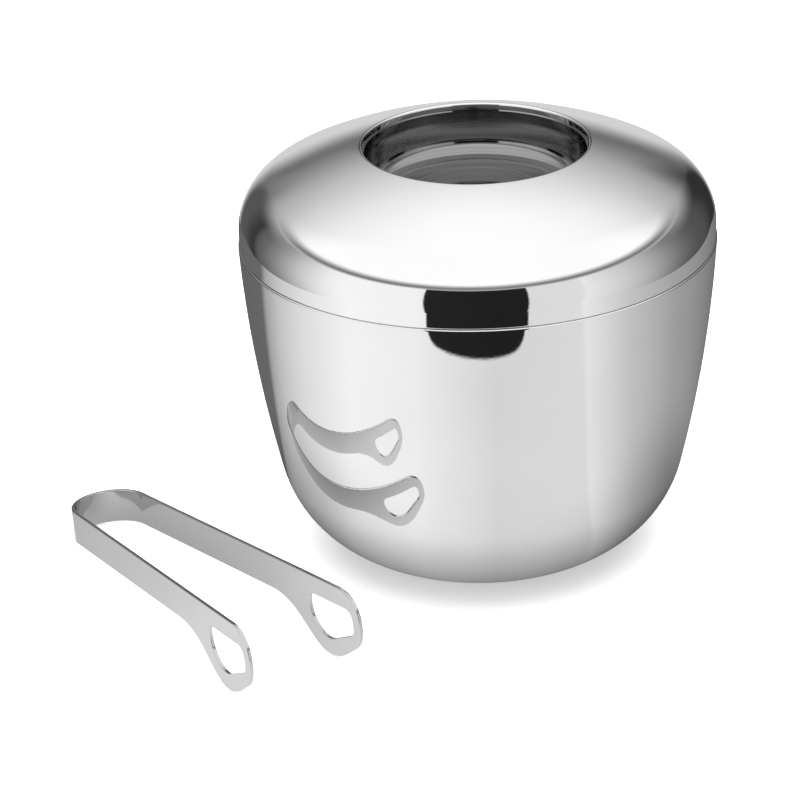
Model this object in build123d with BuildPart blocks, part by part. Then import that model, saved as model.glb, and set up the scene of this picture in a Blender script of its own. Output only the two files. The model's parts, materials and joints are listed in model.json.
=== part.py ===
"""Double-walled steel ice bucket with a lift-off lid and a pair of spring tongs.

Millimetres, +Z up. The origin is the centre of the bucket's base, on the table that
the bucket and its tongs both stand on. The tongs lie beside the bucket, on the side
towards -X and -Y.
"""
from build123d import *
from math import asin, atan2, cos, degrees, hypot, radians, sin, sqrt
import os

os.makedirs("parts", exist_ok=True)

# ---- Bucket --------------------------------------------------------------------------
BUCKET_HEIGHT = 133.0          # table to the rim that the lid sits on
WALL_ARC_RADIUS = 545.0        # the side wall's gentle bulge, from belly to rim
UPRIGHT_RADIUS = 95.9          # where that arc would stand upright, above the rim
UPRIGHT_HEIGHT = 161.0
BASE_FLAT_RADIUS = 35.0        # flat part of the underside
SHELL_SHEET = 0.8              # outer steel sheet
LINER_SHEET = 0.7              # inner steel sheet
AIR_GAP = 4.0                  # insulating air between the two sheets
RIM_WELD_RADIUS = 91.0         # where the liner's flange is butt-welded to the shell's
RIM_EDGE_ROUND = 0.6

PAD_RADIUS = 32.0              # non-slip pad let into the underside
PAD_THICKNESS = 2.0
PAD_PROUD = 0.7                # how far the pad stands out below the steel
PAD_SIDE_GAP = 0.2
PAD_EDGE_ROUND = 0.4

# ---- Lid -----------------------------------------------------------------------------
LID_RADIUS = 94.7              # outside radius at the lid's upright skirt
LID_EDGE_GAP = 0.3             # skirt's lower edge to the bucket's rim, the dark seam
SKIRT_HEIGHT = 6.0             # upright part of the skirt above the rim
SHOULDER_RADIUS = 22.0         # round shoulder from skirt to dome
SHOULDER_SLOPE = 25.6          # dome's fall, in degrees, where it meets the shoulder
DOME_RADIUS = 188.0
LID_SHEET = 0.8
LIP_RADIUS = 1.0               # rolled lip round the dish
MOUTH_RADIUS = 44.6            # inside the rolled lip
COLLAR_DEPTH = 8.0             # lip's crest to the lower end of the turned-down collar
LID_EDGE_ROUND = 0.35

DISH_SHEET = 0.7
DISH_TOP_DROP = 3.0            # lip's crest to the dish's upper edge
DISH_LAP = 4.0                 # how far the dish's upright edge laps the collar
DISH_DEPTH = 20.5              # lip's crest to the dish's floor
DISH_FLOOR_RADIUS = 42.0
DISH_FLOOR_ROUND = 7.0

PLUG_RADIUS = 88.0             # under pan's wall that drops into the liner
PLUG_DEPTH = 10.0
PAN_SHEET = 0.7
PAN_CORNER_ROUND = 2.5
GROOVE_TOP = 2.5               # rim plane to the top of the seal's groove
GROOVE_HEIGHT = 4.0
GROOVE_DEPTH = 1.8
SEAL_RADIUS = 88.9             # outside of the seal's bead
SEAL_HEIGHT = 3.8
SEAL_FLAT = 1.4                # straight part of the seal's section, inside the groove

# ---- Tongs ---------------------------------------------------------------------------
STRIP_THICKNESS = 1.5
STRIP_WIDTH = 14.0             # at the bow
BOW_RADIUS = 15.4              # middle of the strip round the bow
ARM_SPREAD = 3.2               # each arm leans outwards by this many degrees
FLEX_GAP = 0.3                 # clearance between the bow and each arm
TONGS_APEX = (-162.3, 18.1)    # outermost point of the bow, on the table
TONGS_HEADING = -58.1          # degrees from +X, bow to tips

# Side view of an arm. The first number runs from the bow's apex to the tips, and the
# second up from the bow's lower edge. Each corner is rounded by the radius beside it.
SWEEP = (124.4, 0)             # lower edge sweeps down into the ring
FOOT = (151.5, -20.9)          # the ring's foot rests on the table
FOOT_RADIUS = 19.0
TOE = (174.5, -6.5)
ARM_CORNERS = [
    (SWEEP, 32.0),
    (FOOT, FOOT_RADIUS),
    (TOE, 11.0),
    ((TOE[0], STRIP_WIDTH), 12.5),
]
RING_HOLE_CORNERS = [
    ((140.4, 6.2), 3.5),
    ((140.4, -15.4), 11.5),
    ((169.6, -3.6), 3.5),
    ((169.6, 6.2), 4.5),
]

# ---- Worked out from the sizes above -------------------------------------------------
WALL_CENTRE_R = UPRIGHT_RADIUS - WALL_ARC_RADIUS
FOOT_Z = PAD_PROUD
LINER_INSET = SHELL_SHEET + AIR_GAP + LINER_SHEET
# The belly's arc touches the flat underside and the wall's arc.
BELLY_RADIUS = (
    WALL_ARC_RADIUS**2
    - (BASE_FLAT_RADIUS - WALL_CENTRE_R) ** 2
    - (FOOT_Z - UPRIGHT_HEIGHT) ** 2
) / (2 * (WALL_ARC_RADIUS + FOOT_Z - UPRIGHT_HEIGHT))
BELLY_CENTRE_Z = FOOT_Z + BELLY_RADIUS
BELLY_END_ANGLE = degrees(
    atan2(BELLY_CENTRE_Z - UPRIGHT_HEIGHT, BASE_FLAT_RADIUS - WALL_CENTRE_R)
)

SHOULDER_CENTRE_R = LID_RADIUS - SHOULDER_RADIUS
SHOULDER_CENTRE_Z = BUCKET_HEIGHT + SKIRT_HEIGHT
DOME_CENTRE_R = SHOULDER_CENTRE_R - (DOME_RADIUS - SHOULDER_RADIUS) * sin(radians(SHOULDER_SLOPE))
DOME_CENTRE_Z = SHOULDER_CENTRE_Z - (DOME_RADIUS - SHOULDER_RADIUS) * cos(radians(SHOULDER_SLOPE))
LIP_CENTRE_R = MOUTH_RADIUS + LIP_RADIUS
LIP_CENTRE_Z = DOME_CENTRE_Z + sqrt(
    (DOME_RADIUS - LIP_RADIUS) ** 2 - (LIP_CENTRE_R - DOME_CENTRE_R) ** 2
)
LIP_SLOPE = degrees(asin((LIP_CENTRE_R - DOME_CENTRE_R) / (DOME_RADIUS - LIP_RADIUS)))
LIP_CREST_Z = LIP_CENTRE_Z + LIP_RADIUS

BOW_CENTRE_X = BOW_RADIUS + STRIP_THICKNESS / 2


def resting_tilt():
    """How far, in degrees, the arms rise when the bow and both feet touch the table."""
    to_sweep = (Vector(*SWEEP) - Vector(*FOOT)).normalized()
    to_toe = (Vector(*TOE) - Vector(*FOOT)).normalized()
    half_corner = radians(to_sweep.get_angle(to_toe)) / 2
    centre = Vector(*FOOT) + (to_sweep + to_toe).normalized() * (FOOT_RADIUS / sin(half_corner))
    spread = radians(ARM_SPREAD)
    forward = BOW_CENTRE_X - BOW_RADIUS * sin(spread) + (centre.X - BOW_CENTRE_X) * cos(spread)
    return degrees(asin(FOOT_RADIUS / hypot(forward, centre.Y)) - atan2(centre.Y, forward))


def round_corners(sketch, corners):
    """Round each listed corner of a sketch by the radius given beside it."""
    for point, radius in corners:
        fillet(sketch.vertices().sort_by_distance(point)[0], radius)


def bucket_section(inset, top_z):
    """Half section of the bucket's solid form up to top_z, `inset` inside its outer skin."""
    wall_radius = WALL_ARC_RADIUS - inset
    top_angle = degrees(asin((top_z - UPRIGHT_HEIGHT) / wall_radius))
    with BuildSketch(Plane.XZ) as section:
        with BuildLine():
            floor = Line((0, FOOT_Z + inset), (BASE_FLAT_RADIUS, FOOT_Z + inset))
            CenterArc(
                (BASE_FLAT_RADIUS, BELLY_CENTRE_Z),
                BELLY_RADIUS - inset,
                -90,
                90 + BELLY_END_ANGLE,
            )
            wall = CenterArc(
                (WALL_CENTRE_R, UPRIGHT_HEIGHT),
                wall_radius,
                BELLY_END_ANGLE,
                top_angle - BELLY_END_ANGLE,
            )
            rim = Line(wall @ 1, (0, top_z))
            Line(rim @ 1, floor @ 0)
        make_face()
    return section.sketch


def lid_skin(inset):
    """The lid's curve from skirt to collar, `inset` inside the outer skin."""
    skirt = Line(
        (LID_RADIUS - inset, BUCKET_HEIGHT + LID_EDGE_GAP),
        (LID_RADIUS - inset, SHOULDER_CENTRE_Z),
    )
    CenterArc(
        (SHOULDER_CENTRE_R, SHOULDER_CENTRE_Z),
        SHOULDER_RADIUS - inset,
        0,
        90 - SHOULDER_SLOPE,
    )
    CenterArc(
        (DOME_CENTRE_R, DOME_CENTRE_Z),
        DOME_RADIUS - inset,
        90 - SHOULDER_SLOPE,
        SHOULDER_SLOPE - LIP_SLOPE,
    )
    lip = CenterArc(
        (LIP_CENTRE_R, LIP_CENTRE_Z),
        LIP_RADIUS - inset,
        90 - LIP_SLOPE,
        90 + LIP_SLOPE,
    )
    collar = Line(lip @ 1, (MOUTH_RADIUS + inset, LIP_CREST_Z - COLLAR_DEPTH))
    return skirt @ 0, collar @ 1


def dish_section(inset):
    """Half section of the dish's form below its open top, `inset` inside its skin."""
    side_radius = MOUTH_RADIUS - inset
    floor_z = LIP_CREST_Z - DISH_DEPTH - DISH_SHEET + inset
    floor_radius = DISH_FLOOR_RADIUS + DISH_SHEET - inset
    top_z = LIP_CREST_Z - DISH_TOP_DROP
    with BuildSketch(Plane.XZ) as section:
        with BuildLine():
            Polyline(
                (0, floor_z),
                (floor_radius, floor_z),
                (side_radius, top_z - DISH_LAP),
                (side_radius, top_z),
                (0, top_z),
                close=True,
            )
        make_face()
        round_corners(section, [((floor_radius, floor_z), DISH_FLOOR_ROUND + DISH_SHEET - inset)])
    return section.sketch


def pan_section(inset):
    """Half section of the lid's plug, with the groove that holds the seal."""
    floor_z = BUCKET_HEIGHT - PLUG_DEPTH + inset
    groove_top = BUCKET_HEIGHT - GROOVE_TOP + inset
    groove_bottom = BUCKET_HEIGHT - GROOVE_TOP - GROOVE_HEIGHT - inset
    wall_radius = PLUG_RADIUS - inset
    groove_radius = wall_radius - GROOVE_DEPTH
    with BuildSketch(Plane.XZ) as section:
        with BuildLine():
            Polyline(
                (0, floor_z),
                (wall_radius, floor_z),
                (wall_radius, groove_bottom),
                (groove_radius, groove_bottom),
                (groove_radius, groove_top),
                (wall_radius, groove_top),
                (wall_radius, BUCKET_HEIGHT + PAN_SHEET),
                (0, BUCKET_HEIGHT + PAN_SHEET),
                close=True,
            )
        make_face()
        round_corners(section, [((wall_radius, floor_z), PAN_CORNER_ROUND - inset)])
    return section.sketch


# ---- Bucket --------------------------------------------------------------------------
# Deep-drawn outer shell: the rim turns inwards as a narrow flange, and the underside has
# a shallow round recess for the pad.
with BuildPart() as bucket_outer_shell:
    revolve(bucket_section(0, BUCKET_HEIGHT), axis=Axis.Z)
    revolve(
        bucket_section(SHELL_SHEET, BUCKET_HEIGHT - SHELL_SHEET),
        axis=Axis.Z,
        mode=Mode.SUBTRACT,
    )
    with BuildSketch(Plane.XY.offset(FOOT_Z)):
        Circle(PAD_RADIUS + PAD_SIDE_GAP + SHELL_SHEET)
    extrude(amount=PAD_THICKNESS - PAD_PROUD + SHELL_SHEET)
    with BuildSketch(Plane.XY.offset(FOOT_Z)):
        Circle(PAD_RADIUS + PAD_SIDE_GAP)
    extrude(amount=PAD_THICKNESS - PAD_PROUD, mode=Mode.SUBTRACT)
    with BuildSketch(Plane.XY.offset(BUCKET_HEIGHT)):
        Circle(RIM_WELD_RADIUS)
    extrude(amount=-2 * SHELL_SHEET, mode=Mode.SUBTRACT)
    rim_edges = bucket_outer_shell.edges().filter_by(GeomType.CIRCLE).group_by(Axis.Z)[-1]
    fillet(rim_edges.sort_by(SortBy.RADIUS)[-1], RIM_EDGE_ROUND)
bucket_outer_shell.part.label = "bucket_outer_shell"

# Inner vessel that holds the ice, hung from the shell's flange by a flange of its own.
with BuildPart() as bucket_inner_liner:
    revolve(bucket_section(LINER_INSET - LINER_SHEET, BUCKET_HEIGHT), axis=Axis.Z)
    with BuildSketch(Plane.XY.offset(BUCKET_HEIGHT)):
        Circle(RIM_WELD_RADIUS)
    extrude(amount=-SHELL_SHEET)
    revolve(bucket_section(LINER_INSET, BUCKET_HEIGHT), axis=Axis.Z, mode=Mode.SUBTRACT)
    mouth_edges = bucket_inner_liner.edges().filter_by(GeomType.CIRCLE).group_by(Axis.Z)[-1]
    fillet(mouth_edges.sort_by(SortBy.RADIUS)[0], RIM_EDGE_ROUND)
bucket_inner_liner.part.label = "bucket_inner_liner"

# Silicone disc that the bucket stands on.
with BuildPart() as bucket_base_pad:
    with BuildSketch(Plane.XY):
        Circle(PAD_RADIUS)
    extrude(amount=PAD_THICKNESS)
    fillet(bucket_base_pad.edges().group_by(Axis.Z)[0], PAD_EDGE_ROUND)
bucket_base_pad.part.label = "bucket_base_pad"

# ---- Lid -----------------------------------------------------------------------------
# Domed top: upright skirt, round shoulder, dome, rolled lip and turned-down collar.
with BuildPart() as lid_top_shell:
    with BuildSketch(Plane.XZ):
        with BuildLine():
            outer_edge, outer_collar = lid_skin(0)
            inner_edge, inner_collar = lid_skin(LID_SHEET)
            Line(outer_edge, inner_edge)
            Line(outer_collar, inner_collar)
        make_face()
    revolve(axis=Axis.Z)
    edge_circles = lid_top_shell.edges().filter_by(GeomType.CIRCLE).group_by(Axis.Z)[0]
    fillet(edge_circles.sort_by(SortBy.RADIUS)[-1], LID_EDGE_ROUND)
lid_top_shell.part.label = "lid_top_shell"

# Round dish in the middle of the lid, set into the collar.
with BuildPart() as lid_dish:
    revolve(dish_section(0), axis=Axis.Z)
    revolve(dish_section(DISH_SHEET), axis=Axis.Z, mode=Mode.SUBTRACT)
lid_dish.part.label = "lid_dish"

# Closing pan: its flange rests on the bucket's rim and its plug drops into the liner.
with BuildPart() as lid_under_pan:
    revolve(pan_section(0), axis=Axis.Z)
    with BuildSketch(Plane.XY.offset(BUCKET_HEIGHT)):
        Circle(LID_RADIUS - LID_SHEET)
    extrude(amount=PAN_SHEET)
    revolve(pan_section(PAN_SHEET), axis=Axis.Z, mode=Mode.SUBTRACT)
lid_under_pan.part.label = "lid_under_pan"

# Silicone seal: a D-shaped ring in the plug's groove.
with BuildPart() as lid_seal_ring:
    seal_inner = PLUG_RADIUS - GROOVE_DEPTH
    seal_middle_z = BUCKET_HEIGHT - GROOVE_TOP - GROOVE_HEIGHT / 2
    seal_low = seal_middle_z - SEAL_HEIGHT / 2
    seal_high = seal_middle_z + SEAL_HEIGHT / 2
    with BuildSketch(Plane.XZ):
        with BuildLine():
            Polyline(
                (seal_inner + SEAL_FLAT, seal_low),
                (seal_inner, seal_low),
                (seal_inner, seal_high),
                (seal_inner + SEAL_FLAT, seal_high),
            )
            ThreePointArc(
                (seal_inner + SEAL_FLAT, seal_high),
                (SEAL_RADIUS, seal_middle_z),
                (seal_inner + SEAL_FLAT, seal_low),
            )
        make_face()
    revolve(axis=Axis.Z)
lid_seal_ring.part.label = "lid_seal_ring"

# ---- Tongs ---------------------------------------------------------------------------
# The tongs' own frame: X from the bow to the tips, Z across the width of the strip.
heading = radians(TONGS_HEADING)
tilt = radians(resting_tilt())
tongs_plane = Plane(
    origin=(TONGS_APEX[0], TONGS_APEX[1], 0),
    x_dir=(cos(heading) * cos(tilt), sin(heading) * cos(tilt), sin(tilt)),
    z_dir=(-cos(heading) * sin(tilt), -sin(heading) * sin(tilt), cos(tilt)),
)

# Half-round bow, the spring of the tongs.
with BuildPart() as tongs_bow:
    with BuildSketch(tongs_plane):
        with BuildLine():
            CenterArc((BOW_CENTRE_X, 0), BOW_RADIUS, 90 + ARM_SPREAD, 180 - 2 * ARM_SPREAD)
        trace(line_width=STRIP_THICKNESS)
    extrude(amount=STRIP_WIDTH)
tongs_bow.part.label = "tongs_bow"


def tongs_arm(side):
    """One arm, a flat blade that ends in an open ring. `side` is 1 for left, -1 for right."""
    spread = radians(ARM_SPREAD)
    bow_end = Vector(
        BOW_CENTRE_X - BOW_RADIUS * sin(spread),
        side * BOW_RADIUS * cos(spread),
        0,
    )
    along = Vector(cos(spread), side * sin(spread), 0)
    # The blade is drawn in the tongs' own X, so its plane starts level with the apex.
    start = tongs_plane.from_local_coords(bow_end - along * BOW_CENTRE_X)
    along = tongs_plane.from_local_coords(along) - tongs_plane.origin
    blade_plane = Plane(origin=start, x_dir=along, z_dir=along.cross(tongs_plane.z_dir))
    with BuildPart() as arm:
        with BuildSketch(blade_plane) as blade:
            with BuildLine():
                Polyline(
                    (BOW_CENTRE_X + FLEX_GAP, STRIP_WIDTH),
                    (BOW_CENTRE_X + FLEX_GAP, 0),
                    *[point for point, radius in ARM_CORNERS],
                    close=True,
                )
            make_face()
            round_corners(blade, ARM_CORNERS)
        extrude(amount=STRIP_THICKNESS / 2, both=True)
        with BuildSketch(blade_plane) as ring_hole:
            with BuildLine():
                Polyline(*[point for point, radius in RING_HOLE_CORNERS], close=True)
            make_face()
            round_corners(ring_hole, RING_HOLE_CORNERS)
        extrude(amount=STRIP_THICKNESS / 2, both=True, mode=Mode.SUBTRACT)
    return arm.part


tongs_left_arm = tongs_arm(1)
tongs_left_arm.label = "tongs_left_arm"

tongs_right_arm = tongs_arm(-1)
tongs_right_arm.label = "tongs_right_arm"

# ---- Files ---------------------------------------------------------------------------
export_step(bucket_outer_shell.part, "parts/bucket_outer_shell.step")
export_step(bucket_inner_liner.part, "parts/bucket_inner_liner.step")
export_step(bucket_base_pad.part, "parts/bucket_base_pad.step")
export_step(lid_top_shell.part, "parts/lid_top_shell.step")
export_step(lid_dish.part, "parts/lid_dish.step")
export_step(lid_under_pan.part, "parts/lid_under_pan.step")
export_step(lid_seal_ring.part, "parts/lid_seal_ring.step")
export_step(tongs_bow.part, "parts/tongs_bow.step")
export_step(tongs_left_arm, "parts/tongs_left_arm.step")
export_step(tongs_right_arm, "parts/tongs_right_arm.step")
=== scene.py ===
"""Looks for the double-walled steel ice bucket and its spring tongs.

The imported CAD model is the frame. Mirror-polished steel shows every facet, so each
turned or bent piece is built again here as a fine, smooth mesh of the same size, and
stands for its CAD node. Sizes are in millimetres until a mesh is made.
"""

import json
from math import asin, atan2, cos, degrees, pi, radians, sin, tan

import bmesh
import bpy
from mathutils import Matrix, Vector
from mathutils.geometry import tessellate_polygon


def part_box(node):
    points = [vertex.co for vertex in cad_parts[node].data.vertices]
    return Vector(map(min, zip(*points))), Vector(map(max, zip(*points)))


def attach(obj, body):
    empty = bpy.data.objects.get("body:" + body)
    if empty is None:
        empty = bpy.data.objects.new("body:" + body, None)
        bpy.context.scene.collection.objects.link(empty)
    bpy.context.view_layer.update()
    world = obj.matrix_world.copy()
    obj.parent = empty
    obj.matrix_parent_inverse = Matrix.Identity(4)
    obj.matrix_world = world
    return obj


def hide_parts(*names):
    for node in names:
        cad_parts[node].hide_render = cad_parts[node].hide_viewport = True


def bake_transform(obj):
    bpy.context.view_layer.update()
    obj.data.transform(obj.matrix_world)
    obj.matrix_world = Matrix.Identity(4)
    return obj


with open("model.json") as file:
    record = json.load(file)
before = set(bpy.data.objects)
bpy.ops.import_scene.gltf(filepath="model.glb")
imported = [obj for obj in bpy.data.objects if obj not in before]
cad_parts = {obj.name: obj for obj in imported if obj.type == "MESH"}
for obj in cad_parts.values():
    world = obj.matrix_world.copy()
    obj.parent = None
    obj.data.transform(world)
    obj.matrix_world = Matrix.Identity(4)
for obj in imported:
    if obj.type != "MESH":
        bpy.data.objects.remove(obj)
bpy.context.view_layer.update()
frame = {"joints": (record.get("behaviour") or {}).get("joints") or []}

MM = 0.001
POLE_RADIUS = 1e-6             # a point of a turned outline nearer the axis is on it
HOLD = 0.2                     # flat margin beside a rounded corner, keeps faces flat
SHARP_ANGLE = 40.0             # degrees between faces from which an edge stays crisp

# ---- Facets --------------------------------------------------------------------------
ROUND_STEPS = 256              # round a turned piece
CORNER_STEPS = 6               # along a small rounded corner
WALL_STEPS = 48                # along the bucket's belly, and again along its wall
SHOULDER_STEPS = 44            # along the lid's shoulder
DOME_STEPS = 24                # along the lid's dome, and again along its lip
DISH_FLOOR_STEPS = 12          # along the corner between the dish's wall and floor
DISH_BEND_STEPS = 8            # along the bend in the dish's wall
SEAL_STEPS = 14                # along the seal's nose
ARM_STEPS = 20                 # along each rounded corner of the tongs' outline
BOW_COLUMNS = 64               # from the bow's apex to the arm

# ---- Sizes that the pieces share with the CAD model ----------------------------------
SHEET = 0.8                    # outer shell and lid top
THIN_SHEET = 0.7               # liner, dish and under pan
WALL_ARC_RADIUS = 545.0
UPRIGHT_RADIUS = 95.9
UPRIGHT_HEIGHT = 161.0
BASE_FLAT_RADIUS = 35.0
AIR_GAP = 4.0
RIM_WELD_RADIUS = 91.0
RIM_EDGE_ROUND = 0.6
PAD_PROUD = 0.7
PAD_SIDE_GAP = 0.2
PAD_EDGE_ROUND = 0.4
SKIRT_HEIGHT = 6.0
SHOULDER_RADIUS = 22.0
SHOULDER_SLOPE = 25.6
DOME_RADIUS = 188.0
LIP_RADIUS = 1.0
MOUTH_RADIUS = 44.6
COLLAR_DEPTH = 8.0
LID_EDGE_ROUND = 0.35
DISH_LAP = 4.0
DISH_FLOOR_RADIUS = 42.0
DISH_FLOOR_ROUND = 7.0
PLUG_RADIUS = 88.0
PAN_CORNER_ROUND = 2.5
GROOVE_TOP = 2.5
GROOVE_HEIGHT = 4.0
GROOVE_DEPTH = 1.8
SEAL_FLAT = 1.4
STRIP_THICKNESS = 1.5
STRIP_WIDTH = 14.0
BOW_RADIUS = 15.4
ARM_SPREAD = 3.2
FLEX_GAP = 0.3

# ---- Edges that are sharp in the CAD model -------------------------------------------
DISH_BEND_ROUND = 2.0          # inside of the bend in the dish's wall, below its lap
STRIP_EDGE_ROUND = 0.35        # the tongs' strip, all along its edges


def node_box(name):
    """A CAD node's lowest and highest corners in millimetres."""
    low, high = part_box(name)
    return low / MM, high / MM


BUCKET_HEIGHT = node_box("bucket_outer_shell")[1].z
LID_RADIUS = node_box("lid_top_shell")[1].x
LID_EDGE_Z = node_box("lid_top_shell")[0].z
LIP_CREST_Z = node_box("lid_top_shell")[1].z
DISH_FLOOR_Z = node_box("lid_dish")[0].z
DISH_TOP_Z = node_box("lid_dish")[1].z
PAN_FLOOR_Z = node_box("lid_under_pan")[0].z
SEAL_RADIUS = node_box("lid_seal_ring")[1].x
SEAL_HEIGHT = node_box("lid_seal_ring")[1].z - node_box("lid_seal_ring")[0].z
PAD_RADIUS = node_box("bucket_base_pad")[1].x
PAD_THICKNESS = node_box("bucket_base_pad")[1].z

WALL_CENTRE_R = UPRIGHT_RADIUS - WALL_ARC_RADIUS
BELLY_RADIUS = (
    WALL_ARC_RADIUS**2
    - (BASE_FLAT_RADIUS - WALL_CENTRE_R) ** 2
    - (PAD_PROUD - UPRIGHT_HEIGHT) ** 2
) / (2 * (WALL_ARC_RADIUS + PAD_PROUD - UPRIGHT_HEIGHT))
BELLY_CENTRE_Z = PAD_PROUD + BELLY_RADIUS
BELLY_END_ANGLE = degrees(
    atan2(BELLY_CENTRE_Z - UPRIGHT_HEIGHT, BASE_FLAT_RADIUS - WALL_CENTRE_R)
)
SHOULDER_CENTRE_R = LID_RADIUS - SHOULDER_RADIUS
SHOULDER_CENTRE_Z = BUCKET_HEIGHT + SKIRT_HEIGHT
DOME_CENTRE_R = SHOULDER_CENTRE_R - (DOME_RADIUS - SHOULDER_RADIUS) * sin(radians(SHOULDER_SLOPE))
DOME_CENTRE_Z = SHOULDER_CENTRE_Z - (DOME_RADIUS - SHOULDER_RADIUS) * cos(radians(SHOULDER_SLOPE))
LIP_CENTRE_R = MOUTH_RADIUS + LIP_RADIUS
LIP_CENTRE_Z = LIP_CREST_Z - LIP_RADIUS
LIP_SLOPE = degrees(asin((LIP_CENTRE_R - DOME_CENTRE_R) / (DOME_RADIUS - LIP_RADIUS)))


# ---- Outlines ------------------------------------------------------------------------
def arc(centre, radius, start, end, steps):
    """Points along an arc, from `start` to `end` degrees."""
    points = []
    for i in range(steps + 1):
        angle = radians(start + (end - start) * i / steps)
        points.append((centre[0] + radius * cos(angle), centre[1] + radius * sin(angle)))
    return points


def corner(before, at, after, radius, steps=CORNER_STEPS):
    """A rounded corner with a short straight hold on both sides of it."""
    before, at, after = Vector(before), Vector(at), Vector(after)
    back = (before - at).normalized()
    ahead = (after - at).normalized()
    half = back.angle(ahead) / 2
    reach = radius / tan(half)
    centre = at + (back + ahead).normalized() * radius / sin(half)
    first = at + back * reach
    last = at + ahead * reach
    start = atan2(first.y - centre.y, first.x - centre.x)
    end = atan2(last.y - centre.y, last.x - centre.x)
    sweep = (end - start + pi) % (2 * pi) - pi
    turned = arc(centre, radius, degrees(start), degrees(start + sweep), steps)
    return [tuple(first + back * HOLD)] + turned + [tuple(last + ahead * HOLD)]


def rounded_loop(corners, steps):
    """A closed outline of (point, radius) corners; radius 0 stays sharp."""
    points = []
    for i, (at, radius) in enumerate(corners):
        before = corners[i - 1][0]
        after = corners[(i + 1) % len(corners)][0]
        points += corner(before, at, after, radius, steps) if radius else [at]
    return points


# ---- Meshes --------------------------------------------------------------------------
def make_piece(name, vertices, faces):
    """A smooth-shaded closed mesh from points in millimetres."""
    mesh = bpy.data.meshes.new(name)
    mesh.from_pydata([Vector(v) * MM for v in vertices], [], faces)
    piece = bpy.data.objects.new(name, mesh)
    bpy.context.scene.collection.objects.link(piece)
    finish_mesh(mesh)
    return piece


def finish_mesh(mesh):
    """Faces point outwards; shading is smooth except at real edges."""
    work = bmesh.new()
    work.from_mesh(mesh)
    bmesh.ops.recalc_face_normals(work, faces=work.faces)
    work.to_mesh(mesh)
    work.free()
    mesh.shade_smooth()
    mesh.set_sharp_from_angle(angle=radians(SHARP_ANGLE))


def lathe(name, profile):
    """Turns a closed half section round Z. Points with no radius become poles."""
    vertices, rings = [], []
    for r, z in profile:
        if r < POLE_RADIUS:
            rings.append([len(vertices)])
            vertices.append((0, 0, z))
            continue
        rings.append(list(range(len(vertices), len(vertices) + ROUND_STEPS)))
        for i in range(ROUND_STEPS):
            angle = 2 * pi * i / ROUND_STEPS
            vertices.append((r * cos(angle), r * sin(angle), z))
    faces = []
    for a, b in zip(rings, rings[1:] + rings[:1]):
        if len(a) == 1 and len(b) == 1:
            continue
        for i in range(ROUND_STEPS):
            j = (i + 1) % ROUND_STEPS
            if len(a) == 1:
                faces.append((a[0], b[i], b[j]))
            elif len(b) == 1:
                faces.append((a[i], b[0], a[j]))
            else:
                faces.append((a[i], b[i], b[j], a[j]))
    return make_piece(name, vertices, faces)


def bucket_skin(inset, top_z):
    """The bucket's curve from the flat underside up to top_z, `inset` inside it."""
    top_angle = degrees(asin((top_z - UPRIGHT_HEIGHT) / (WALL_ARC_RADIUS - inset)))
    belly = arc(
        (BASE_FLAT_RADIUS, BELLY_CENTRE_Z),
        BELLY_RADIUS - inset,
        -90,
        BELLY_END_ANGLE,
        WALL_STEPS,
    )
    wall = arc(
        (WALL_CENTRE_R, UPRIGHT_HEIGHT),
        WALL_ARC_RADIUS - inset,
        BELLY_END_ANGLE,
        top_angle,
        WALL_STEPS,
    )
    return belly + wall[1:]


def outer_shell():
    """Deep-drawn outer shell with its rim flange and the pad's recess."""
    top = BUCKET_HEIGHT
    outside = bucket_skin(0, top)
    recess_r = PAD_RADIUS + PAD_SIDE_GAP
    profile = [(0, PAD_THICKNESS), (recess_r, PAD_THICKNESS), (recess_r, PAD_PROUD)]
    profile += [(BASE_FLAT_RADIUS - HOLD, PAD_PROUD)]
    profile += outside[:-1]
    profile += corner(outside[-2], outside[-1], (RIM_WELD_RADIUS, top), RIM_EDGE_ROUND)
    profile += [(RIM_WELD_RADIUS, top), (RIM_WELD_RADIUS, top - SHEET)]
    profile += reversed(bucket_skin(SHEET, top - SHEET))
    profile += [(recess_r + SHEET, PAD_PROUD + SHEET), (recess_r + SHEET, PAD_THICKNESS + SHEET)]
    profile += [(0, PAD_THICKNESS + SHEET)]
    return lathe("outer_shell", profile)


def inner_liner():
    """Inner vessel that holds the ice."""
    top = BUCKET_HEIGHT
    outer_inset = SHEET + AIR_GAP
    inner_inset = outer_inset + THIN_SHEET
    inside = bucket_skin(inner_inset, top)
    profile = [(0, PAD_PROUD + inner_inset)] + inside[:-1]
    profile += corner(inside[-2], inside[-1], (RIM_WELD_RADIUS, top), RIM_EDGE_ROUND)
    profile += [(RIM_WELD_RADIUS, top), (RIM_WELD_RADIUS, top - SHEET)]
    profile += reversed(bucket_skin(outer_inset, top - SHEET))
    profile += [(0, PAD_PROUD + outer_inset)]
    return lathe("inner_liner", profile)


def base_pad():
    """Silicone disc under the bucket."""
    edge = corner((0, 0), (PAD_RADIUS, 0), (PAD_RADIUS, PAD_THICKNESS), PAD_EDGE_ROUND)
    profile = [(0, 0)] + edge + [(PAD_RADIUS, PAD_THICKNESS), (0, PAD_THICKNESS)]
    return lathe("base_pad", profile)


def lid_skin(inset):
    """The lid's curve from the skirt's top to the lip, `inset` inside the outer skin."""
    shoulder = arc(
        (SHOULDER_CENTRE_R, SHOULDER_CENTRE_Z),
        SHOULDER_RADIUS - inset,
        0,
        90 - SHOULDER_SLOPE,
        SHOULDER_STEPS,
    )
    dome = arc(
        (DOME_CENTRE_R, DOME_CENTRE_Z),
        DOME_RADIUS - inset,
        90 - SHOULDER_SLOPE,
        90 - LIP_SLOPE,
        DOME_STEPS,
    )
    lip = arc(
        (LIP_CENTRE_R, LIP_CENTRE_Z),
        LIP_RADIUS - inset,
        90 - LIP_SLOPE,
        180,
        DOME_STEPS,
    )
    return shoulder + dome[1:] + lip[1:]


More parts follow.
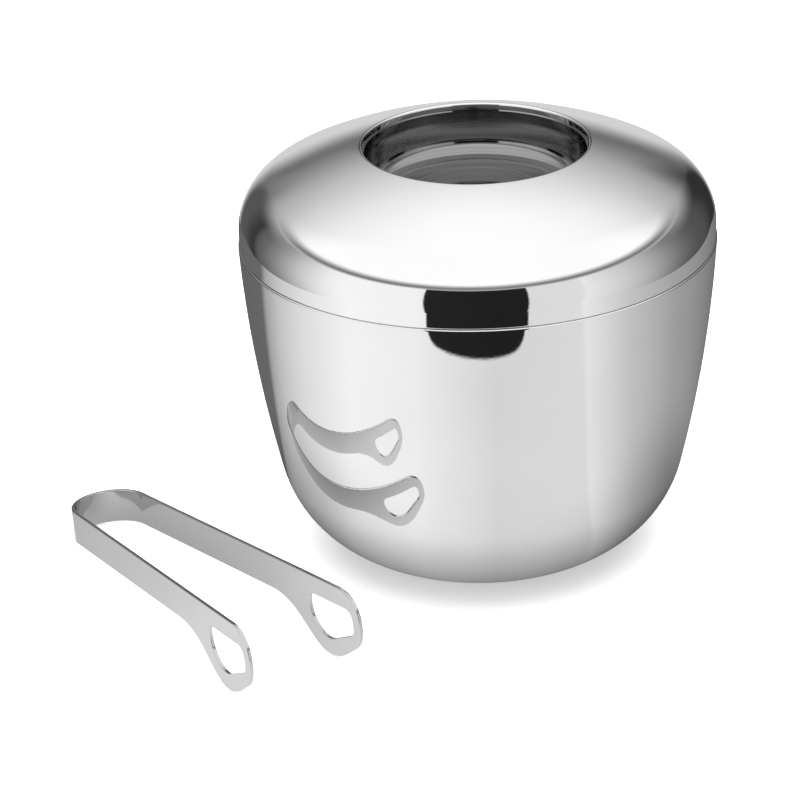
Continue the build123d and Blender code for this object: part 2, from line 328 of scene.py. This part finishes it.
def lid_top():
    """Domed lid top: skirt, shoulder, dome, rolled lip and turned-down collar."""
    collar_z = LIP_CREST_Z - COLLAR_DEPTH
    edge = corner(
        (LID_RADIUS - SHEET, LID_EDGE_Z),
        (LID_RADIUS, LID_EDGE_Z),
        (LID_RADIUS, SHOULDER_CENTRE_Z),
        LID_EDGE_ROUND,
    )
    profile = [(LID_RADIUS - SHEET, LID_EDGE_Z)] + edge[1:]
    profile += [(LID_RADIUS, SHOULDER_CENTRE_Z - HOLD)] + lid_skin(0)
    profile += [(MOUTH_RADIUS, LIP_CENTRE_Z - HOLD), (MOUTH_RADIUS, collar_z)]
    profile += [(MOUTH_RADIUS + SHEET, collar_z)]
    profile += reversed(lid_skin(SHEET))
    return lathe("lid_top", profile)


def dish():
    """Round dish let into the lid's collar."""
    lap_z = DISH_TOP_Z - DISH_LAP
    outer_floor = (DISH_FLOOR_RADIUS + THIN_SHEET, DISH_FLOOR_Z)
    inner_floor = (DISH_FLOOR_RADIUS, DISH_FLOOR_Z + THIN_SHEET)
    inner_radius = MOUTH_RADIUS - THIN_SHEET
    profile = [(0, DISH_FLOOR_Z)]
    profile += corner(
        (0, DISH_FLOOR_Z),
        outer_floor,
        (MOUTH_RADIUS, lap_z),
        DISH_FLOOR_ROUND + THIN_SHEET,
        DISH_FLOOR_STEPS,
    )
    profile += [(MOUTH_RADIUS, lap_z), (MOUTH_RADIUS, DISH_TOP_Z), (inner_radius, DISH_TOP_Z)]
    profile += corner(
        (inner_radius, DISH_TOP_Z),
        (inner_radius, lap_z),
        inner_floor,
        DISH_BEND_ROUND,
        DISH_BEND_STEPS,
    )
    profile += corner(
        (inner_radius, lap_z),
        inner_floor,
        (0, inner_floor[1]),
        DISH_FLOOR_ROUND,
        DISH_FLOOR_STEPS,
    )
    profile += [(0, inner_floor[1])]
    return lathe("dish", profile)


def under_pan():
    """Closing pan under the lid, with the seal's groove in its plug."""
    rim = BUCKET_HEIGHT
    inner_floor_z = PAN_FLOOR_Z + THIN_SHEET
    groove_low = rim - GROOVE_TOP - GROOVE_HEIGHT
    groove_high = rim - GROOVE_TOP
    inner_wall = PLUG_RADIUS - THIN_SHEET
    flange = LID_RADIUS - SHEET
    profile = [(0, PAN_FLOOR_Z)]
    profile += corner(
        (0, PAN_FLOOR_Z), (PLUG_RADIUS, PAN_FLOOR_Z), (PLUG_RADIUS, groove_low), PAN_CORNER_ROUND
    )
    profile += [
        (PLUG_RADIUS, groove_low),
        (PLUG_RADIUS - GROOVE_DEPTH, groove_low),
        (PLUG_RADIUS - GROOVE_DEPTH, groove_high),
        (PLUG_RADIUS, groove_high),
        (PLUG_RADIUS, rim),
        (flange, rim),
        (flange, rim + THIN_SHEET),
        (inner_wall, rim + THIN_SHEET),
        (inner_wall, groove_high + THIN_SHEET),
        (inner_wall - GROOVE_DEPTH, groove_high + THIN_SHEET),
        (inner_wall - GROOVE_DEPTH, groove_low - THIN_SHEET),
        (inner_wall, groove_low - THIN_SHEET),
    ]
    profile += corner(
        (inner_wall, groove_low),
        (inner_wall, inner_floor_z),
        (0, inner_floor_z),
        PAN_CORNER_ROUND - THIN_SHEET,
    )
    profile += [(0, inner_floor_z)]
    return lathe("under_pan", profile)


def seal_ring():
    """D-shaped silicone ring in the plug's groove."""
    inner = PLUG_RADIUS - GROOVE_DEPTH
    middle_z = BUCKET_HEIGHT - GROOVE_TOP - GROOVE_HEIGHT / 2
    bulge = SEAL_RADIUS - inner - SEAL_FLAT
    half = SEAL_HEIGHT / 2
    radius = (bulge**2 + half**2) / (2 * bulge)
    span = degrees(asin(half / radius))
    nose = arc((SEAL_RADIUS - radius, middle_z), radius, -span, span, SEAL_STEPS)
    profile = [(inner, middle_z - half)] + nose + [(inner, middle_z + half)]
    return lathe("seal_ring", profile)


# ---- Tongs ---------------------------------------------------------------------------
# Side view of an arm: first number along the strip, second up from its lower edge.
SWEEP = (124.4, 0)
FOOT = (151.5, -20.9)
TOE = (174.5, -6.5)
SWEEP_ROUND = 32.0
FOOT_ROUND = 19.0
TOE_ROUND = 11.0
END_ROUND = 12.5
RING_HOLE = [                  # (corner, its rounding)
    ((169.6, 6.2), 4.5),
    ((169.6, -3.6), 3.5),
    ((140.4, -15.4), 11.5),
    ((140.4, 6.2), 3.5),
]
APEX_SPARE = 3.0               # strip drawn past the apex, cut off again
APEX_STEP = 0.1                # first column, close to the apex
WELD = 0.003                   # points nearer than this become one
QUAD = 4                       # corners of the largest face that isn't split

BOW_CENTRE = BOW_RADIUS + STRIP_THICKNESS / 2
BOW_LENGTH = BOW_RADIUS * radians(90 - ARM_SPREAD)
APEX_S = BOW_CENTRE - BOW_LENGTH


def tongs_axes():
    """The tongs' origin and their forward, across and up directions, from the hinges."""
    joints = {joint["name"]: joint for joint in frame["joints"]}
    left = Vector(joints["left_arm_squeeze"]["pos_m"]) / MM
    right = Vector(joints["right_arm_squeeze"]["pos_m"]) / MM
    up = Vector(joints["right_arm_squeeze"]["axis"]).normalized()
    across = (left - right).normalized()
    forward = across.cross(up)
    hinge_x = BOW_CENTRE - BOW_RADIUS * sin(radians(ARM_SPREAD))
    hinge_x += FLEX_GAP / 2 * cos(radians(ARM_SPREAD))
    origin = (left + right) / 2 - forward * hinge_x - up * STRIP_WIDTH / 2
    return origin, forward, across, up, {1: left, -1: right}


def inset_loop(loop, distance):
    """A closed outline moved towards its left-hand side by `distance`."""
    moved = []
    for i, point in enumerate(loop):
        before = Vector(point) - Vector(loop[i - 1])
        after = Vector(loop[(i + 1) % len(loop)]) - Vector(point)
        normal = (before.normalized() + after.normalized()).orthogonal().normalized()
        stretch = normal.dot(before.normalized().orthogonal())
        moved.append(Vector(point) + normal * distance / stretch)
    return moved


def strip_rings(loop):
    """(height through the strip, outline) rings that round the strip's edges."""
    half = STRIP_THICKNESS / 2
    rings = [(half, inset_loop(loop, STRIP_EDGE_ROUND + HOLD))]
    for i in range(CORNER_STEPS + 1):
        angle = radians(90 * (1 - i / CORNER_STEPS))
        height = half - STRIP_EDGE_ROUND * (1 - sin(angle))
        rings.append((height, inset_loop(loop, STRIP_EDGE_ROUND * (1 - cos(angle)))))
    return rings + [(-height, outline) for height, outline in reversed(rings)]


def strip_outline():
    """Side view of the strip, from a little past the apex to the ring's end."""
    start = APEX_S - APEX_SPARE
    corners = [
        ((start, STRIP_WIDTH), 0),
        ((start, 0), 0),
        (SWEEP, SWEEP_ROUND),
        (FOOT, FOOT_ROUND),
        (TOE, TOE_ROUND),
        ((TOE[0], STRIP_WIDTH), END_ROUND),
    ]
    return rounded_loop(corners, ARM_STEPS)


def edge_wall(work, loop):
    """The strip's rounded edge along an outline. Returns its top and bottom rings."""
    rings = []
    for height, outline in strip_rings(loop):
        rings.append([work.verts.new((p[0], p[1], height)) for p in outline])
    for a, b in zip(rings, rings[1:]):
        for i in range(len(a)):
            work.faces.new((a[i - 1], a[i], b[i], b[i - 1]))
    return rings[0], rings[-1]


def flat_side(work, loops):
    """The strip's flat side between its outline and the ring's hole."""
    vertices = [vertex for loop in loops for vertex in loop]
    for triangle in tessellate_polygon([[v.co for v in loop] for loop in loops]):
        work.faces.new([vertices[i] for i in triangle])


def cut_across(work, s, clear_inner=False):
    """Cuts the strip at `s` along it. Returns the edges of the cut."""
    everything = list(work.verts) + list(work.edges) + list(work.faces)
    cut = bmesh.ops.bisect_plane(
        work,
        geom=everything,
        plane_co=(s, 0, 0),
        plane_no=(1, 0, 0),
        clear_inner=clear_inner,
    )
    return [part for part in cut["geom_cut"] if isinstance(part, bmesh.types.BMEdge)]


def flat_strip():
    """One arm and its half of the bow, laid flat: a mesh of (along, up, outward)."""
    work = bmesh.new()
    outer = edge_wall(work, strip_outline())
    hole = edge_wall(work, rounded_loop(RING_HOLE, ARM_STEPS))
    for loops in zip(outer, hole):
        flat_side(work, loops)
    bmesh.ops.contextual_create(work, geom=cut_across(work, APEX_S, clear_inner=True))
    cut_across(work, APEX_S + APEX_STEP)
    for i in range(BOW_COLUMNS):
        cut_across(work, APEX_S + BOW_LENGTH * (i + 1) / BOW_COLUMNS)
    bmesh.ops.remove_doubles(work, verts=list(work.verts), dist=WELD)
    bmesh.ops.dissolve_degenerate(work, edges=list(work.edges), dist=WELD)
    # The apex's end face, and any face that the cuts left with many corners.
    many_cornered = [face for face in work.faces if len(face.verts) > QUAD]
    bmesh.ops.triangulate(work, faces=many_cornered)
    return work


def tongs_half(name, side):
    """The strip bent round the bow. `side` is 1 for the left arm, -1 for the right."""
    origin, forward, across, up, hinges = tongs_axes()
    spread = radians(ARM_SPREAD)
    work = flat_strip()
    for vertex in work.verts:
        s, height, out = vertex.co
        turned = min(s - APEX_S, BOW_LENGTH) / BOW_RADIUS
        beyond = max(s - APEX_S - BOW_LENGTH, 0)
        x = BOW_CENTRE - (BOW_RADIUS + out) * cos(turned) + beyond * cos(spread)
        y = (BOW_RADIUS + out) * sin(turned) + beyond * sin(spread)
        vertex.co = (origin + forward * x + across * side * y + up * height) * MM
    mesh = bpy.data.meshes.new(name)
    work.to_mesh(mesh)
    work.free()
    piece = bpy.data.objects.new(name, mesh)
    bpy.context.scene.collection.objects.link(piece)
    finish_mesh(mesh)
    middle = up * STRIP_WIDTH / 2
    return piece, (origin + middle) * MM, hinges[side] * MM


# ---- Shader helpers ------------------------------------------------------------------
def put(tree, socket, value):
    """Sets a socket, or links it when the value is another node's output."""
    if isinstance(value, bpy.types.NodeSocket):
        tree.links.new(value, socket)
    else:
        socket.default_value = value


def calc(tree, operation, a, b=0.0):
    """One Math node."""
    node = tree.nodes.new("ShaderNodeMath")
    node.operation = operation
    put(tree, node.inputs[0], a)
    put(tree, node.inputs[1], b)
    return node.outputs[0]


def times(tree, a, b):
    """Product of two values."""
    return calc(tree, "MULTIPLY", a, b)


def ease(tree, value, span, to_low=0.0, to_high=1.0):
    """Smooth change from to_low to to_high as the value crosses the span (low, high)."""
    node = tree.nodes.new("ShaderNodeMapRange")
    node.interpolation_type = "SMOOTHSTEP"
    put(tree, node.inputs["Value"], value)
    node.inputs["From Min"].default_value = span[0]
    node.inputs["From Max"].default_value = span[1]
    node.inputs["To Min"].default_value = to_low
    node.inputs["To Max"].default_value = to_high
    return node.outputs["Result"]


def mix(tree, share, a, b):
    """Value from a at share 0 to b at share 1."""
    node = tree.nodes.new("ShaderNodeMix")
    node.data_type = "FLOAT"
    put(tree, node.inputs[0], share)
    put(tree, node.inputs[2], a)
    put(tree, node.inputs[3], b)
    return node.outputs[0]


def grey_ramp(tree, value, stops):
    """A ramp of greys; stops are (position, grey), in rising order."""
    node = tree.nodes.new("ShaderNodeValToRGB")
    elements = node.color_ramp.elements
    while len(elements) < len(stops):
        elements.new(0.5)
    # All stops are placed before any is coloured, because placing them can reorder them.
    for element, stop in zip(elements, stops):
        element.position = stop[0]
    for element, stop in zip(elements, stops):
        grey = stop[1]
        element.color = (grey, grey, grey, 1)
    put(tree, node.inputs["Fac"], value)
    return node.outputs["Color"]


def cloud_greys(tone, spread):
    """Ramp stops that turn a noise's middle range into greys about `tone`."""
    return [(CLOUD_RANGE[0], tone - spread), (CLOUD_RANGE[1], tone + spread)]


def noise(tree, scale, detail=4.0):
    """Noise at `scale` features a metre in the object's own space."""
    place = tree.nodes.new("ShaderNodeTexCoord")
    texture = tree.nodes.new("ShaderNodeTexNoise")
    texture.inputs["Scale"].default_value = scale
    texture.inputs["Detail"].default_value = detail
    tree.links.new(place.outputs["Object"], texture.inputs["Vector"])
    return texture.outputs["Fac"]


def bump(tree, height, distance, strength, normal=None):
    """A Bump node; `distance` in metres."""
    node = tree.nodes.new("ShaderNodeBump")
    node.inputs["Distance"].default_value = distance
    node.inputs["Strength"].default_value = strength
    put(tree, node.inputs["Height"], height)
    if normal is not None:
        tree.links.new(normal, node.inputs["Normal"])
    return node.outputs["Normal"]


def new_material(name):
    """An empty node material and its Principled shader."""
    material = bpy.data.materials.new(name)
    material.use_nodes = True
    return material.node_tree, material.node_tree.nodes["Principled BSDF"], material


def object_axes(tree):
    """The x, y and z of the shaded point in the object's own space, in metres."""
    place = tree.nodes.new("ShaderNodeTexCoord")
    split = tree.nodes.new("ShaderNodeSeparateXYZ")
    tree.links.new(place.outputs["Object"], split.inputs[0])
    return split.outputs


def ring_radius(tree, x, y):
    """Distance of (x, y) from zero."""
    return calc(tree, "SQRT", calc(tree, "ADD", times(tree, x, x), times(tree, y, y)))


# ---- Materials -----------------------------------------------------------------------
# Noise scales are in features a metre, and bump distances in metres.
CLOUD_SCALE = 22.0             # soft clouding of polished steel
CLOUD_SPREAD = 0.02
CLOUD_RANGE = (0.3, 0.7)       # the part of a noise's range that changes colour
POLISH_SCALE = 900.0           # fine polishing marks
POLISH_DETAIL = 6.0
POLISH_DEPTH = 0.00001
POLISH_STRENGTH = 0.25
WAVE_SCALE = 35.0              # slight waviness of formed sheet
WAVE_DETAIL = 1.0
WAVE_DEPTH = 0.001
TURNED_DETAIL = 3.0            # finer rings between the lathe's main ones
TURNED_SPREAD = 0.06
TURNED_STRENGTH = 0.6
TURNED_SHINE = 0.6             # roughness of the shiniest rings, as a share
MARKS_RANGE = (0.2, 0.8)       # the part of a noise's range that changes roughness
GRAIN_SCALE = 1500.0           # moulded grain of silicone
GRAIN_DETAIL = 3.0
GRAIN_DEPTH = 0.00005
GRAIN_STRENGTH = 0.5
GRAIN_ROUGHNESS = (0.5, 0.68)
RUBBER_CLOUD_SCALE = 60.0
RUBBER_TONE = 0.045
RUBBER_SPREAD = 0.01
RUBBER_SPECULAR = 0.4


def steel(name, tone, roughness, haze, wave):
    """Polished stainless steel: faint clouding, polishing haze and a slight waviness."""
    tree, shader, material = new_material(name)
    shader.inputs["Metallic"].default_value = 1.0
    cloud = noise(tree, CLOUD_SCALE)
    colour = grey_ramp(tree, cloud, cloud_greys(tone, CLOUD_SPREAD))
    put(tree, shader.inputs["Base Color"], colour)
    fine = noise(tree, POLISH_SCALE, POLISH_DETAIL)
    rough = calc(tree, "ADD", times(tree, cloud, haze), times(tree, fine, roughness))
    put(tree, shader.inputs["Roughness"], rough)
    waves = bump(tree, noise(tree, WAVE_SCALE, WAVE_DETAIL), WAVE_DEPTH, wave)
    marks = bump(tree, fine, POLISH_DEPTH, POLISH_STRENGTH, waves)
    put(tree, shader.inputs["Normal"], marks)
    return material


def spun_steel(name, tone, roughness, pitch, depth):
    """Steel turned on a lathe: fine concentric rings, uneven from ring to ring."""
    tree, shader, material = new_material(name)
    shader.inputs["Metallic"].default_value = 1.0
    x, y, z = object_axes(tree)
    # Out along a floor and up along a wall, as the tool runs.
    along = calc(tree, "ADD", ring_radius(tree, x, y), z)
    rings = tree.nodes.new("ShaderNodeTexNoise")
    rings.noise_dimensions = "1D"
    rings.inputs["Scale"].default_value = 1.0
    rings.inputs["Detail"].default_value = TURNED_DETAIL
    put(tree, rings.inputs["W"], times(tree, along, 1.0 / pitch))
    marks = rings.outputs["Fac"]
    colour = grey_ramp(tree, marks, cloud_greys(tone, TURNED_SPREAD))
    put(tree, shader.inputs["Base Color"], colour)
    rough = ease(tree, marks, MARKS_RANGE, roughness * TURNED_SHINE, roughness)
    put(tree, shader.inputs["Roughness"], rough)
    put(tree, shader.inputs["Normal"], bump(tree, marks, depth, TURNED_STRENGTH))
    return material


def silicone(name):
    """Matt dark grey silicone with a fine moulded grain."""
    tree, shader, material = new_material(name)
    grain = noise(tree, GRAIN_SCALE, GRAIN_DETAIL)
    cloud = noise(tree, RUBBER_CLOUD_SCALE)
    colour = grey_ramp(tree, cloud, cloud_greys(RUBBER_TONE, RUBBER_SPREAD))
    put(tree, shader.inputs["Base Color"], colour)
    put(tree, shader.inputs["Roughness"], ease(tree, grain, MARKS_RANGE, *GRAIN_ROUGHNESS))
    shader.inputs["Specular IOR Level"].default_value = RUBBER_SPECULAR
    put(tree, shader.inputs["Normal"], bump(tree, grain, GRAIN_DEPTH, GRAIN_STRENGTH))
    return material


# ---- The object ----------------------------------------------------------------------
def dress(piece, body, node, material):
    """Material, CAD node, material slot and body of one piece."""
    piece.data.materials.append(material)
    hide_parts(node)
    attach(piece, body)


mirror = steel("mirror_steel", tone=0.92, roughness=0.03, haze=0.02, wave=0.004)
# The lid's copy of the mirror steel is brighter: painted light that lifts the dome's top.
lid_painted_light_steel = steel("lid_steel_painted_light", tone=0.96, roughness=0.03, haze=0.02, wave=0.004)
tongs_metal = steel("tongs_steel", tone=0.66, roughness=0.12, haze=0.08, wave=0.03)
# The dish's dark tone is painted shade: it darkens what the dish's floor mirrors, on top of the
# dark gap in the world.
dish_painted_shade_steel = spun_steel(
    "spun_dish_painted_shade", tone=0.34, roughness=0.13, pitch=0.0022, depth=0.000008
)
satin = spun_steel(
    "satin_liner_steel", tone=0.66, roughness=0.34, pitch=0.0004, depth=0.00001
)
rubber = silicone("silicone_rubber")

dress(outer_shell(), "bucket", "bucket_outer_shell", mirror)
dress(inner_liner(), "bucket", "bucket_inner_liner", satin)
dress(base_pad(), "bucket", "bucket_base_pad", rubber)
dress(lid_top(), "lid", "lid_top_shell", lid_painted_light_steel)
dress(dish(), "lid", "lid_dish", dish_painted_shade_steel)
dress(under_pan(), "lid", "lid_under_pan", satin)
dress(seal_ring(), "lid", "lid_seal_ring", rubber)

left_half, apex, left_hinge = tongs_half("tongs_left_half", 1)
right_half, apex, right_hinge = tongs_half("tongs_right_half", -1)
for half in (left_half, right_half):
    half.data.materials.append(tongs_metal)
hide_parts("tongs_bow", "tongs_left_arm")
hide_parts("tongs_bow", "tongs_right_arm")
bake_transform(left_half)
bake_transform(right_half)

# ---- Studio --------------------------------------------------------------------------
# Polished steel shows its surroundings. The world is a soft tent that it mirrors upwards,
# and the table light is the lit table that it mirrors downwards. The floor is what the
# camera sees. Lengths are in metres and angles round the bucket in radians: 0 faces the
# camera and positive is to the right. Heights in the tent are sines of the elevation.
# A pair is where a change begins and where it ends.
FLOOR_HALF = 6.0
FLOOR_Z = -0.0006
FLOOR_CLOUD_SCALE = 3.0
FLOOR_GREYS = [(0, 0.88), (1, 0.92)]
FLOOR_ROUGHNESS = 0.8
FLOOR_GLOW = 0.4               # keeps the contact shadow faint
LAMP_PLACE = (0.0, -0.1, 1.6)
LAMP_SIZE = 2.4
LAMP_POWER = 38.0
CAMERA_PLACE = (-0.0349, -1.1934, 0.6217)
CAMERA_PITCH = 25.07           # degrees down
CAMERA_ROLL = -1.98            # degrees
CAMERA_LENS = 147.49           # millimetres
CAMERA_SENSOR = 36.0           # millimetres
FULL_TURN = 360.0


def turn_stop(angle):
    """Place on the side light's ramp of an angle in degrees round the bucket."""
    return 0.5 + angle / FULL_TURN


# Side light round the bucket: a bright window on the left, dimmer on the right.
SIDE_LIGHT = [
    (0.0, 0.12),
    (turn_stop(-132), 0.14),
    (turn_stop(-127), 0.38),
    (turn_stop(-114), 0.58),
    (turn_stop(-96), 0.76),
    (turn_stop(-66), 0.95),
    (turn_stop(-32), 0.92),
    (turn_stop(5), 0.71),
    (turn_stop(47), 0.75),
    (turn_stop(49), 0.83),
    (turn_stop(75), 0.56),
    (turn_stop(106), 0.37),
    (turn_stop(150), 0.22),
    (1.0, 0.12),
]
GAP_LIGHT = 0.02               # the dark gap that the camera looks through

# The tent.
GAP_SHIFT = 0.05
GAP_EDGE = (0.41, 0.43)
FAR_SIDE = (1.2, 2.2)
FAR_SIDE_LIGHT = 0.28
FLAG_SIDES = (-0.5, 0.5)       # from the dark flag behind on the left to the right one
FLAG_LIGHTS = (0.09, 0.03)     # what they give, left and right
FLAG_OUTER_EDGE = (0.55, 0.85)
STRIP_LIGHT = 0.66             # the pale strip between the flags
STRIP_OUTER_EDGE = (0.20, 0.42)
STRIP_TOP = (-0.02, 0.28)      # where the overhead light takes over from each part
FLAG_TOP = (0.20, 0.46)
STRIP_TO_FLAG = (0.28, 0.46)
FRONT_TOP = (0.41, 0.45)
FRONT_OVERHEAD = [(0.44, 0.45), (0.48, 0.16), (0.52, 0.30), (0.60, 0.97)]
BACK_OVERHEAD = [(0.0, 0.05), (0.20, 0.10), (0.35, 0.24), (0.64, 0.62), (0.95, 1.0)]
FRONT_TO_BACK = (0.15, 0.75)
OVERHEAD_LIGHT = 1.06
BACK_GAP_BOTTOM = (0.26, 0.34)  # the dark gap low behind the object
BACK_GAP_TOP = (0.50, 0.60)
BACK_GAP_SIDE = (0.10, 0.22)
BACK_GAP_DEPTH = 0.85

# The table.
TABLE_HALF = 0.42
TABLE_Z = -0.0004              # just below the pad and the tongs
TABLE_TURN = 1.13              # the table is mirrored nearer the camera than the tent
REAR_STRIP_SLOPE = 0.15        # bright strip straight behind the bucket
REAR_STRIP_EDGE = (0.005, 0.045)
REAR_STRIP_START = (0.0, 0.06)
REAR_STRIP_LIGHT = 0.85
SHADE_ACROSS = 0.8             # contact shade, wider to the sides than in front
SHADE_ALONG = 1.3
SHADE_EDGE = (0.02, 0.16)
SHADE_LIGHT = 0.12
GAP_APEX_Y = -0.055            # the gap narrows from the table's front edge to here
GAP_SLOPE = 0.455
GAP_OFFSET = 0.019
GAP_LENGTH = 0.138
GAP_SIDE_POWER = 10.0          # high powers make a rounded rectangle
GAP_END_POWER = 8.0
GAP_ROUND_EDGE = (0.8, 1.2)


def angle_round(tree, x, y):
    """Angle round the bucket of a point or a direction."""
    return calc(tree, "ARCTAN2", x, times(tree, y, -1.0))


def side_light(tree, angle, stretch):
    """The side light's grey at an angle round the bucket."""
    turn = calc(tree, "ADD", times(tree, angle, stretch / (2 * pi)), 0.5)
    return grey_ramp(tree, turn, SIDE_LIGHT)


def tent_sides(tree, angle, off_back):
    """Side light with the camera's gap, a dim far side, and a backdrop of three parts."""
    sides = side_light(tree, angle, 1.0)
    off_gap = calc(tree, "ABSOLUTE", calc(tree, "ADD", angle, GAP_SHIFT))
    sides = times(tree, sides, ease(tree, off_gap, GAP_EDGE, GAP_LIGHT, 1.0))
    far_side = ease(tree, calc(tree, "ABSOLUTE", angle), FAR_SIDE, 1.0, FAR_SIDE_LIGHT)
    sides = times(tree, sides, far_side)
    flag = ease(tree, angle, FLAG_SIDES, *FLAG_LIGHTS)
    backdrop = mix(tree, ease(tree, off_back, STRIP_OUTER_EDGE), STRIP_LIGHT, flag)
    return mix(tree, ease(tree, off_back, FLAG_OUTER_EDGE), backdrop, sides)


def tent_overhead(tree, z, behind):
    """Overhead light, fading towards the back, with a dark seam above the sides."""
    front = grey_ramp(tree, z, FRONT_OVERHEAD)
    back = grey_ramp(tree, z, BACK_OVERHEAD)
    return times(tree, mix(tree, behind, front, back), OVERHEAD_LIGHT)


def overhead_share(tree, z, behind, off_back):
    """How far the overhead light replaces the sides. The flags stand above the strip."""
    over_strip = ease(tree, z, STRIP_TOP)
    over_flags = ease(tree, z, FLAG_TOP)
    back = mix(tree, ease(tree, off_back, STRIP_TO_FLAG), over_strip, over_flags)
    return mix(tree, behind, ease(tree, z, FRONT_TOP), back)


def back_gap(tree, z, off_back):
    """Light left by the dark gap low behind the object, which the dish's floor mirrors."""
    gap = times(tree, ease(tree, z, BACK_GAP_BOTTOM), ease(tree, z, BACK_GAP_TOP, 1.0, 0.0))
    gap = times(tree, gap, ease(tree, off_back, BACK_GAP_SIDE, 1.0, 0.0))
    return calc(tree, "SUBTRACT", 1.0, times(tree, gap, BACK_GAP_DEPTH))


def make_world():
    """Soft white tent: bright overhead, a dark gap for the camera, dim behind."""
    world = bpy.data.worlds.new("studio")
    bpy.context.scene.world = world
    world.use_nodes = True
    tree = world.node_tree
    tree.nodes.clear()
    place = tree.nodes.new("ShaderNodeTexCoord")
    split = tree.nodes.new("ShaderNodeSeparateXYZ")
    tree.links.new(place.outputs["Generated"], split.inputs[0])
    x, y, z = split.outputs
    angle = angle_round(tree, x, y)
    off_back = calc(tree, "SUBTRACT", pi, calc(tree, "ABSOLUTE", angle))
    behind = ease(tree, y, FRONT_TO_BACK)
    sides = tent_sides(tree, angle, off_back)
    overhead = tent_overhead(tree, z, behind)
    light = mix(tree, overhead_share(tree, z, behind, off_back), sides, overhead)
    light = times(tree, light, back_gap(tree, z, off_back))
    # What the camera sees directly is plain white.
    path = tree.nodes.new("ShaderNodeLightPath")
    light = mix(tree, path.outputs["Is Camera Ray"], light, 1.0)
    background = tree.nodes.new("ShaderNodeBackground")
    put(tree, background.inputs["Color"], light)
    output = tree.nodes.new("ShaderNodeOutputWorld")
    tree.links.new(background.outputs[0], output.inputs["Surface"])


def flat_sheet(name, half, z):
    """A flat square of the studio, in metres."""
    mesh = bpy.data.meshes.new(name)
    square = [(-half, -half, z), (half, -half, z), (half, half, z), (-half, half, z)]
    mesh.from_pydata(square, [], [(0, 1, 2, 3)])
    sheet = bpy.data.objects.new(name, mesh)
    bpy.context.scene.collection.objects.link(sheet)
    return sheet


def make_floor():
    """Plain pale floor that the camera sees; the steel mirrors the table light instead."""
    floor = flat_sheet("floor", FLOOR_HALF, FLOOR_Z)
    floor.visible_glossy = False
    tree, shader, material = new_material("pale_floor")
    colour = grey_ramp(tree, noise(tree, FLOOR_CLOUD_SCALE), FLOOR_GREYS)
    put(tree, shader.inputs["Base Color"], colour)
    shader.inputs["Roughness"].default_value = FLOOR_ROUGHNESS
    shader.inputs["Specular IOR Level"].default_value = 0.0
    shader.inputs["Emission Color"].default_value = (1.0, 1.0, 1.0, 1.0)
    shader.inputs["Emission Strength"].default_value = FLOOR_GLOW
    floor.data.materials.append(material)


def rear_strip(tree, x, y):
    """1 on the bright strip straight behind the bucket, 0 off it."""
    off_middle = calc(
        tree, "SUBTRACT", calc(tree, "ABSOLUTE", x), times(tree, y, REAR_STRIP_SLOPE)
    )
    strip = ease(tree, off_middle, REAR_STRIP_EDGE, 1.0, 0.0)
    return times(tree, strip, ease(tree, y, REAR_STRIP_START))


def table_gap(tree, x, y):
    """Light left by the round end of the camera's dark gap."""
    reach = times(tree, calc(tree, "SUBTRACT", GAP_APEX_Y, y), GAP_SLOPE)
    across = calc(tree, "DIVIDE", calc(tree, "ADD", x, GAP_OFFSET), reach)
    ahead = calc(tree, "DIVIDE", calc(tree, "ADD", y, TABLE_HALF), GAP_LENGTH)
    across = calc(tree, "POWER", calc(tree, "ABSOLUTE", across), GAP_SIDE_POWER)
    ahead = calc(tree, "POWER", calc(tree, "ABSOLUTE", ahead), GAP_END_POWER)
    return ease(tree, calc(tree, "ADD", across, ahead), GAP_ROUND_EDGE, GAP_LIGHT, 1.0)


def make_table_light():
    """The lit table as the steel mirrors it: side light, contact shade, camera gap."""
    table = flat_sheet("table_light", TABLE_HALF, TABLE_Z)
    table.visible_camera = False
    table.visible_diffuse = False
    table.visible_shadow = False
    table.visible_transmission = False
    tree, shader, material = new_material("table_light")
    tree.nodes.remove(shader)
    x, y = object_axes(tree)[:2]
    light = side_light(tree, angle_round(tree, x, y), TABLE_TURN)
    light = mix(tree, rear_strip(tree, x, y), light, REAR_STRIP_LIGHT)
    from_middle = ring_radius(tree, times(tree, x, SHADE_ACROSS), times(tree, y, SHADE_ALONG))
    light = times(tree, light, ease(tree, from_middle, SHADE_EDGE, SHADE_LIGHT, 1.0))
    light = times(tree, light, table_gap(tree, x, y))
    emission = tree.nodes.new("ShaderNodeEmission")
    put(tree, emission.inputs["Color"], light)
    output = next(node for node in tree.nodes if node.type == "OUTPUT_MATERIAL")
    tree.links.new(emission.outputs[0], output.inputs["Surface"])
    table.data.materials.append(material)


def make_overhead_light():
    """Big soft lamp that lights the floor; the steel mirrors the tent instead."""
    lamp = bpy.data.lights.new("overhead", "AREA")
    lamp.shape = "DISK"
    lamp.size = LAMP_SIZE
    lamp.energy = LAMP_POWER
    light = bpy.data.objects.new("overhead", lamp)
    light.location = LAMP_PLACE
    light.rotation_euler = Vector(LAMP_PLACE).to_track_quat("Z", "Y").to_euler()
    light.visible_glossy = False
    light.visible_camera = False
    bpy.context.scene.collection.objects.link(light)


def make_camera():
    """Long lens at the photograph's viewing angle."""
    pitch = radians(CAMERA_PITCH)
    roll = radians(CAMERA_ROLL)
    level_right = Vector((1, 0, 0))
    forward = Vector((0, cos(pitch), -sin(pitch)))
    level_up = Vector((0, sin(pitch), cos(pitch)))
    right = level_right * cos(roll) + level_up * sin(roll)
    up = level_up * cos(roll) - level_right * sin(roll)
    lens = bpy.data.cameras.new("camera")
    lens.sensor_width = CAMERA_SENSOR
    lens.lens = CAMERA_LENS
    camera = bpy.data.objects.new("camera", lens)
    turn = Matrix((right, up, -forward)).transposed()
    camera.matrix_world = Matrix.Translation(CAMERA_PLACE) @ turn.to_4x4()
    bpy.context.scene.collection.objects.link(camera)
    bpy.context.scene.camera = camera


make_world()
make_floor()
make_table_light()
make_overhead_light()
make_camera()
bpy.context.scene.view_settings.view_transform = "Standard"
